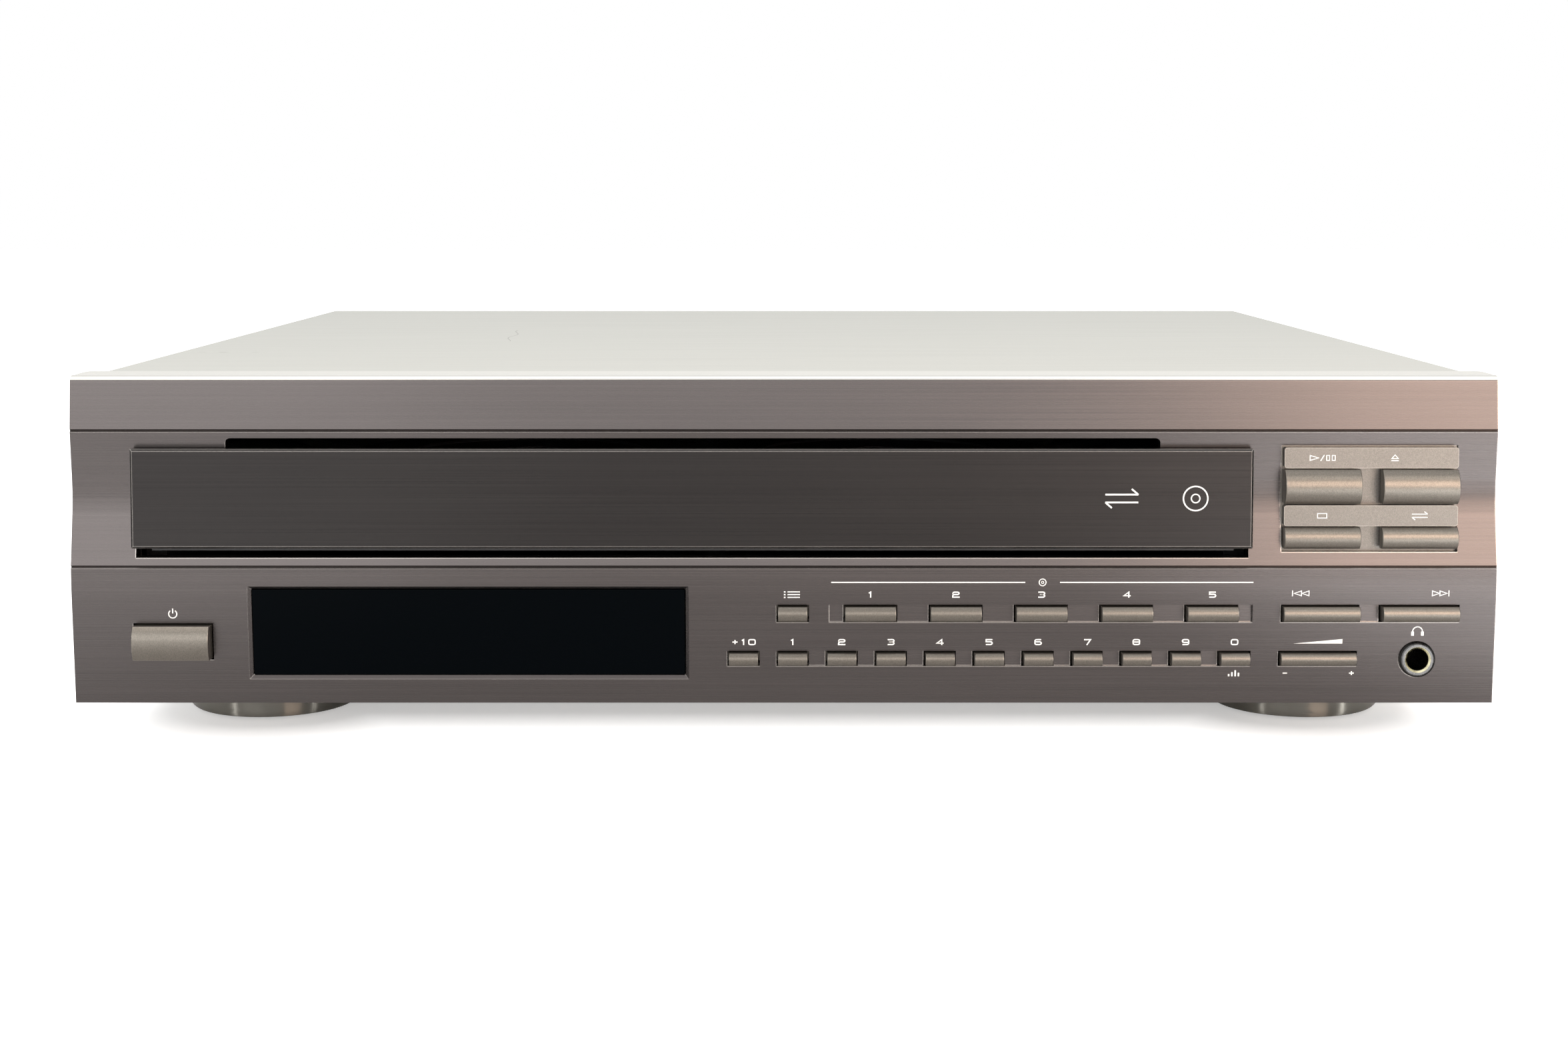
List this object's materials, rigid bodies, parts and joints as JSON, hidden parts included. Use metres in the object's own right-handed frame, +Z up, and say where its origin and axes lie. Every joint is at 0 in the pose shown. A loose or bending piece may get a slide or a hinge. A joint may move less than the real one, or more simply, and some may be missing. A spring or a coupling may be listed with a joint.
{
  "type": "cd changer",
  "caption": "Hi-fi carousel disc changer with a front drawer, turntable tray, lifting pickup unit, display window, push keys and a headphone socket.",
  "frame": {"origin": "on the floor, under the middle of the machine's overall box", "axes": "+X to the right seen from the front, +Y to the rear, +Z up; the panel faces -Y"},
  "size_m": [0.435, 0.4, 0.116],
  "materials": {
    "fascia_metal": "horizontally brushed, dark titanium tint, satin",
    "door_metal": "horizontally brushed, dark grey, satin",
    "frame_plastic": "satin dark grey",
    "surround": "satin warm grey",
    "key_paint": "satin warm grey",
    "window": "glossy near-black tint",
    "tube_glass": "clear",
    "circuit_board": "paper laminate",
    "socket": "bright ring",
    "zinc_steel": "zinc plated",
    "panel_paint": "fine textured black",
    "cover_paint": "smooth satin",
    "screw_metal": "dark nickel",
    "foot_metal": "turned and bright",
    "black_plastic": "moulded, matt",
    "pad_rubber": "matt",
    "core_steel": "varnished core and tape",
    "socket_metal": "nickel plated",
    "tray_plastic": "moulded, fine grain",
    "motor_metal": "zinc plated can",
    "gear_plastic": "natural acetal",
    "pickup_body": "moulded with a glass lens",
    "rod_steel": "ground"
  },
  "bodies": {
    "case": {"fascia": "fascia_metal", "front_frame": "frame_plastic", "control_surround": "surround", "display_window": "window", "display_tube": "tube_glass", "key_board": "circuit_board", "main_board": "circuit_board", "headphone_socket": "socket", "chassis_base": "zinc_steel", "rear_panel": "panel_paint", "top_cover": "cover_paint", "case_screws": "screw_metal", "front_feet": "foot_metal", "rear_feet": "black_plastic", "foot_pads": "pad_rubber", "transformer": "core_steel", "line_out_sockets": "socket_metal", "mains_gland": "black_plastic", "mech_deck": "black_plastic", "clamp_bridge": "zinc_steel", "drive_motors": "motor_metal"},
    "drawer": {"drawer_tray": "tray_plastic", "drawer_door": "door_metal", "carousel_motor": "motor_metal"},
    "carousel": {"carousel": "tray_plastic"},
    "carousel_pinion": {"carousel_pinion": "gear_plastic"},
    "drive_gear": {"drive_gear": "gear_plastic"},
    "drive_pinion": {"drive_pinion": "gear_plastic"},
    "lift_gear": {"lift_gear": "gear_plastic"},
    "cam_slider": {"cam_slider": "gear_plastic"},
    "lift": {"lift_frame": "black_plastic", "sled_rods": "rod_steel"},
    "spindle": {"spindle": "black_plastic"},
    "pickup": {"pickup": "pickup_body"},
    "clamp_puck": {"clamp_puck": "black_plastic"},
    "level_rocker": {"level_rocker": "key_paint"},
    "power_key": {"power_key": "key_paint"},
    "program_key": {"program_key": "key_paint"},
    "plus_ten_key": {"plus_ten_key": "key_paint"},
    "skip_back_key": {"skip_back_key": "key_paint"},
    "skip_forward_key": {"skip_forward_key": "key_paint"},
    "play_key": {"play_key": "key_paint"},
    "open_key": {"open_key": "key_paint"},
    "stop_key": {"stop_key": "key_paint"},
    "exchange_key": {"exchange_key": "key_paint"},
    "disc_1_key": {"disc_1_key": "key_paint"},
    "disc_2_key": {"disc_2_key": "key_paint"},
    "disc_3_key": {"disc_3_key": "key_paint"},
    "disc_4_key": {"disc_4_key": "key_paint"},
    "disc_5_key": {"disc_5_key": "key_paint"},
    "digit_0_key": {"digit_0_key": "key_paint"},
    "digit_1_key": {"digit_1_key": "key_paint"},
    "digit_2_key": {"digit_2_key": "key_paint"},
    "digit_3_key": {"digit_3_key": "key_paint"},
    "digit_4_key": {"digit_4_key": "key_paint"},
    "digit_5_key": {"digit_5_key": "key_paint"},
    "digit_6_key": {"digit_6_key": "key_paint"},
    "digit_7_key": {"digit_7_key": "key_paint"},
    "digit_8_key": {"digit_8_key": "key_paint"},
    "digit_9_key": {"digit_9_key": "key_paint"}
  },
  "joints": [
    {"name": "drawer_slide", "type": "slide", "parent": "case", "child": "drawer", "axis": [0, -1, 0], "range_m": [0, 0.25]},
    {"name": "carousel_turn", "type": "hinge", "parent": "drawer", "child": "carousel", "pos_m": [-0.028, -0.008, 0.08], "axis": [0, 0, 1], "continuous": true},
    {"name": "carousel_pinion_turn", "type": "hinge", "parent": "drawer", "child": "carousel_pinion", "pos_m": [-0.028, -0.077, 0.075], "axis": [0, 0, 1], "continuous": true},
    {"name": "drive_gear_turn", "type": "hinge", "parent": "case", "child": "drive_gear", "pos_m": [0.1516, -0.147, 0.0675], "axis": [0, 0, 1], "range_deg": [0, 1200]},
    {"name": "drive_pinion_turn", "type": "hinge", "parent": "case", "child": "drive_pinion", "pos_m": [0.1696, -0.147, 0.0675], "axis": [0, 0, 1], "range_deg": [-2400, 0]},
    {"name": "lift_rise", "type": "slide", "parent": "case", "child": "lift", "axis": [0, 0, 1], "range_m": [0, 0.0125]},
    {"name": "cam_slide", "type": "slide", "parent": "case", "child": "cam_slider", "axis": [1, 0, 0], "range_m": [0, 0.02]},
    {"name": "lift_gear_turn", "type": "hinge", "parent": "case", "child": "lift_gear", "pos_m": [-0.028, 0.04485, 0.057], "axis": [0, 0, 1], "range_deg": [-82, 0]},
    {"name": "spindle_spin", "type": "hinge", "parent": "lift", "child": "spindle", "pos_m": [-0.028, 0.096, 0.07], "axis": [0, 0, 1], "continuous": true},
    {"name": "pickup_sled", "type": "slide", "parent": "lift", "child": "pickup", "axis": [0, 1, 0], "range_m": [0, 0.035]},
    {"name": "puck_spin", "type": "hinge", "parent": "case", "child": "clamp_puck", "pos_m": [-0.028, 0.096, 0.095], "axis": [0, 0, 1], "continuous": true},
    {"name": "level_rock", "type": "hinge", "parent": "case", "child": "level_rocker", "pos_m": [0.1634, -0.18705, 0.02915], "axis": [0, 0, 1], "range_deg": [-2.5, 2.5], "stiffness_Nm_per_rad": 0.05},
    {"name": "power_key_press", "type": "slide", "parent": "case", "child": "power_key", "axis": [0, 1, 0], "range_m": [0, 0.002], "stiffness_N_per_m": 300},
    {"name": "program_key_press", "type": "slide", "parent": "case", "child": "program_key", "axis": [0, 1, 0], "range_m": [0, 0.0008], "stiffness_N_per_m": 300},
    {"name": "plus_ten_key_press", "type": "slide", "parent": "case", "child": "plus_ten_key", "axis": [0, 1, 0], "range_m": [0, 0.0008], "stiffness_N_per_m": 300},
    {"name": "skip_back_key_press", "type": "slide", "parent": "case", "child": "skip_back_key", "axis": [0, 1, 0], "range_m": [0, 0.0008], "stiffness_N_per_m": 300},
    {"name": "skip_forward_key_press", "type": "slide", "parent": "case", "child": "skip_forward_key", "axis": [0, 1, 0], "range_m": [0, 0.0008], "stiffness_N_per_m": 300},
    {"name": "play_key_press", "type": "slide", "parent": "case", "child": "play_key", "axis": [0, 1, 0], "range_m": [0, 0.0008], "stiffness_N_per_m": 300},
    {"name": "open_key_press", "type": "slide", "parent": "case", "child": "open_key", "axis": [0, 1, 0], "range_m": [0, 0.0008], "stiffness_N_per_m": 300},
    {"name": "stop_key_press", "type": "slide", "parent": "case", "child": "stop_key", "axis": [0, 1, 0], "range_m": [0, 0.0008], "stiffness_N_per_m": 300},
    {"name": "exchange_key_press", "type": "slide", "parent": "case", "child": "exchange_key", "axis": [0, 1, 0], "range_m": [0, 0.0008], "stiffness_N_per_m": 300},
    {"name": "disc_1_key_press", "type": "slide", "parent": "case", "child": "disc_1_key", "axis": [0, 1, 0], "range_m": [0, 0.0008], "stiffness_N_per_m": 300},
    {"name": "disc_2_key_press", "type": "slide", "parent": "case", "child": "disc_2_key", "axis": [0, 1, 0], "range_m": [0, 0.0008], "stiffness_N_per_m": 300},
    {"name": "disc_3_key_press", "type": "slide", "parent": "case", "child": "disc_3_key", "axis": [0, 1, 0], "range_m": [0, 0.0008], "stiffness_N_per_m": 300},
    {"name": "disc_4_key_press", "type": "slide", "parent": "case", "child": "disc_4_key", "axis": [0, 1, 0], "range_m": [0, 0.0008], "stiffness_N_per_m": 300},
    {"name": "disc_5_key_press", "type": "slide", "parent": "case", "child": "disc_5_key", "axis": [0, 1, 0], "range_m": [0, 0.0008], "stiffness_N_per_m": 300},
    {"name": "digit_0_key_press", "type": "slide", "parent": "case", "child": "digit_0_key", "axis": [0, 1, 0], "range_m": [0, 0.0008], "stiffness_N_per_m": 300},
    {"name": "digit_1_key_press", "type": "slide", "parent": "case", "child": "digit_1_key", "axis": [0, 1, 0], "range_m": [0, 0.0008], "stiffness_N_per_m": 300},
    {"name": "digit_2_key_press", "type": "slide", "parent": "case", "child": "digit_2_key", "axis": [0, 1, 0], "range_m": [0, 0.0008], "stiffness_N_per_m": 300},
    {"name": "digit_3_key_press", "type": "slide", "parent": "case", "child": "digit_3_key", "axis": [0, 1, 0], "range_m": [0, 0.0008], "stiffness_N_per_m": 300},
    {"name": "digit_4_key_press", "type": "slide", "parent": "case", "child": "digit_4_key", "axis": [0, 1, 0], "range_m": [0, 0.0008], "stiffness_N_per_m": 300},
    {"name": "digit_5_key_press", "type": "slide", "parent": "case", "child": "digit_5_key", "axis": [0, 1, 0], "range_m": [0, 0.0008], "stiffness_N_per_m": 300},
    {"name": "digit_6_key_press", "type": "slide", "parent": "case", "child": "digit_6_key", "axis": [0, 1, 0], "range_m": [0, 0.0008], "stiffness_N_per_m": 300},
    {"name": "digit_7_key_press", "type": "slide", "parent": "case", "child": "digit_7_key", "axis": [0, 1, 0], "range_m": [0, 0.0008], "stiffness_N_per_m": 300},
    {"name": "digit_8_key_press", "type": "slide", "parent": "case", "child": "digit_8_key", "axis": [0, 1, 0], "range_m": [0, 0.0008], "stiffness_N_per_m": 300},
    {"name": "digit_9_key_press", "type": "slide", "parent": "case", "child": "digit_9_key", "axis": [0, 1, 0], "range_m": [0, 0.0008], "stiffness_N_per_m": 300}
  ],
  "couplings": [
    {"joint": "drive_gear_turn", "follows": "drawer_slide", "rad_per_m": 83.333},
    {"joint": "drive_pinion_turn", "follows": "drawer_slide", "rad_per_m": -166.67},
    {"joint": "carousel_pinion_turn", "follows": "carousel_turn", "ratio": -6.6667},
    {"joint": "cam_slide", "follows": "lift_rise", "ratio": 1.6},
    {"joint": "lift_gear_turn", "follows": "lift_rise", "rad_per_m": -114.29},
    {"joint": "puck_spin", "follows": "spindle_spin", "ratio": 1}
  ]
}
